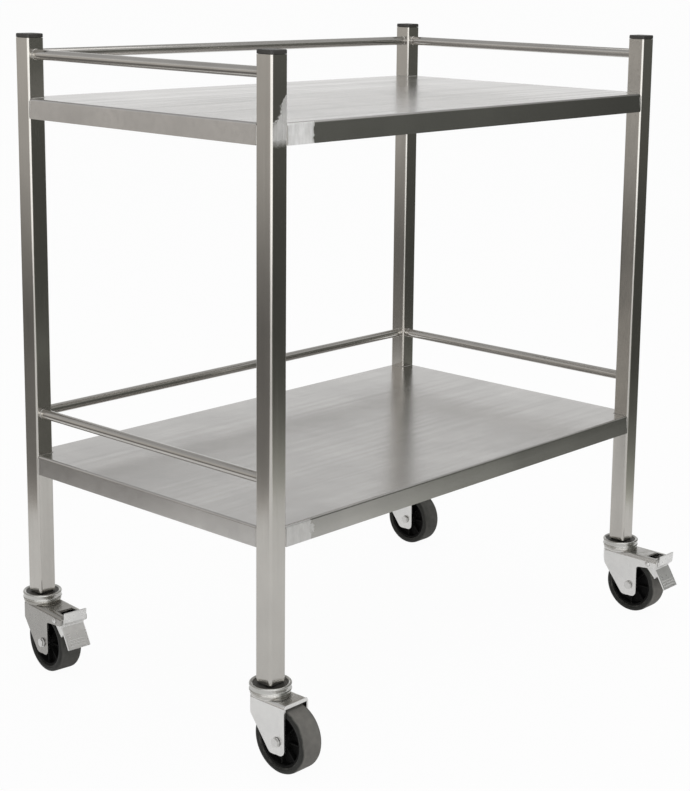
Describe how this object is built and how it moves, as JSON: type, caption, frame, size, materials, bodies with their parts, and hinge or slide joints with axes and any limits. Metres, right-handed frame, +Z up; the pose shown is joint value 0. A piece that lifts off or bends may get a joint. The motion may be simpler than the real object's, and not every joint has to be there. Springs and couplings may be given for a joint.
{
  "type": "instrument trolley",
  "caption": "Stainless steel instrument trolley: square tube frame, folded shelves with guard rails on the ends and back, swivel castors, some with a foot brake.",
  "frame": {"origin": "on the floor, under the middle of the whole object's bounding box as it stands at rest", "axes": "+Z up; +X along the long side, from the left end to the right end seen from the open front; +Y from the open front to the back rail side"},
  "size_m": [0.763, 0.5436, 0.825],
  "materials": {
    "stainless_steel": "brushed to semi mirror",
    "bright_zinc": "bright zinc plated pressed steel",
    "black_plastic": "black moulded plastic",
    "wheel_plastic": "black moulded plastic",
    "black_rubber": "black rubber"
  },
  "bodies": {
    "frame": {"ball_ring_back_left": "bright_zinc", "ball_ring_back_right": "bright_zinc", "ball_ring_front_left": "bright_zinc", "ball_ring_front_right": "bright_zinc", "cap_back_left": "black_plastic", "cap_back_right": "black_plastic", "cap_front_left": "black_plastic", "cap_front_right": "black_plastic", "lower_rail_back": "stainless_steel", "lower_rail_left": "stainless_steel", "lower_rail_right": "stainless_steel", "lower_shelf": "stainless_steel", "lower_stiffener": "stainless_steel", "post_back_left": "stainless_steel", "post_back_right": "stainless_steel", "post_front_left": "stainless_steel", "post_front_right": "stainless_steel", "race_cup_back_left": "bright_zinc", "race_cup_back_right": "bright_zinc", "race_cup_front_left": "bright_zinc", "race_cup_front_right": "bright_zinc", "socket_back_left": "black_plastic", "socket_back_right": "black_plastic", "socket_front_left": "black_plastic", "socket_front_right": "black_plastic", "upper_rail_back": "stainless_steel", "upper_rail_left": "stainless_steel", "upper_rail_right": "stainless_steel", "upper_shelf": "stainless_steel", "upper_stiffener": "stainless_steel"},
    "fork_front_left": {"fork_front_left": "bright_zinc", "bush_front_left": "bright_zinc", "axle_bolt_front_left": "bright_zinc", "axle_nut_front_left": "bright_zinc"},
    "wheel_front_left": {"tyre_front_left": "black_rubber", "wheel_core_front_left": "wheel_plastic"},
    "fork_front_right": {"fork_front_right": "bright_zinc", "bush_front_right": "bright_zinc", "axle_bolt_front_right": "bright_zinc", "axle_nut_front_right": "bright_zinc", "brake_pin_front_right": "bright_zinc"},
    "wheel_front_right": {"tyre_front_right": "black_rubber", "wheel_core_front_right": "wheel_plastic"},
    "brake_front_right": {"brake_lever_front_right": "bright_zinc"},
    "fork_back_left": {"fork_back_left": "bright_zinc", "bush_back_left": "bright_zinc", "axle_bolt_back_left": "bright_zinc", "axle_nut_back_left": "bright_zinc", "brake_pin_back_left": "bright_zinc"},
    "wheel_back_left": {"tyre_back_left": "black_rubber", "wheel_core_back_left": "wheel_plastic"},
    "brake_back_left": {"brake_lever_back_left": "bright_zinc"},
    "fork_back_right": {"fork_back_right": "bright_zinc", "bush_back_right": "bright_zinc", "axle_bolt_back_right": "bright_zinc", "axle_nut_back_right": "bright_zinc"},
    "wheel_back_right": {"tyre_back_right": "black_rubber", "wheel_core_back_right": "wheel_plastic"}
  },
  "joints": [
    {"name": "swivel_front_left", "type": "hinge", "parent": "frame", "child": "fork_front_left", "pos_m": [-0.35352, -0.18283, 0.09], "axis": [0, 0, 1], "continuous": true},
    {"name": "roll_front_left", "type": "hinge", "parent": "fork_front_left", "child": "wheel_front_left", "pos_m": [-0.35352, -0.21233, 0.04], "axis": [1, 0, 0], "continuous": true},
    {"name": "swivel_front_right", "type": "hinge", "parent": "frame", "child": "fork_front_right", "pos_m": [0.35608, -0.18283, 0.09], "axis": [0, 0, 1], "continuous": true},
    {"name": "roll_front_right", "type": "hinge", "parent": "fork_front_right", "child": "wheel_front_right", "pos_m": [0.35608, -0.21233, 0.04], "axis": [1, 0, 0], "continuous": true},
    {"name": "brake_front_right", "type": "hinge", "parent": "fork_front_right", "child": "brake_front_right", "pos_m": [0.35608, -0.24333, 0.0792], "axis": [1, 0, 0], "range_deg": [0, 10]},
    {"name": "swivel_back_left", "type": "hinge", "parent": "frame", "child": "fork_back_left", "pos_m": [-0.35352, 0.24677, 0.09], "axis": [0, 0, 1], "continuous": true},
    {"name": "roll_back_left", "type": "hinge", "parent": "fork_back_left", "child": "wheel_back_left", "pos_m": [-0.35661, 0.21743, 0.04], "axis": [0.9945, -0.1045, 0], "continuous": true},
    {"name": "brake_back_left", "type": "hinge", "parent": "fork_back_left", "child": "brake_back_left", "pos_m": [-0.35985, 0.1866, 0.0792], "axis": [0.9945, -0.1045, 0], "range_deg": [0, 10]},
    {"name": "swivel_back_right", "type": "hinge", "parent": "frame", "child": "fork_back_right", "pos_m": [0.35608, 0.24677, 0.09], "axis": [0, 0, 1], "continuous": true},
    {"name": "roll_back_right", "type": "hinge", "parent": "fork_back_right", "child": "wheel_back_right", "pos_m": [0.35608, 0.21727, 0.04], "axis": [1, 0, 0], "continuous": true}
  ]
}
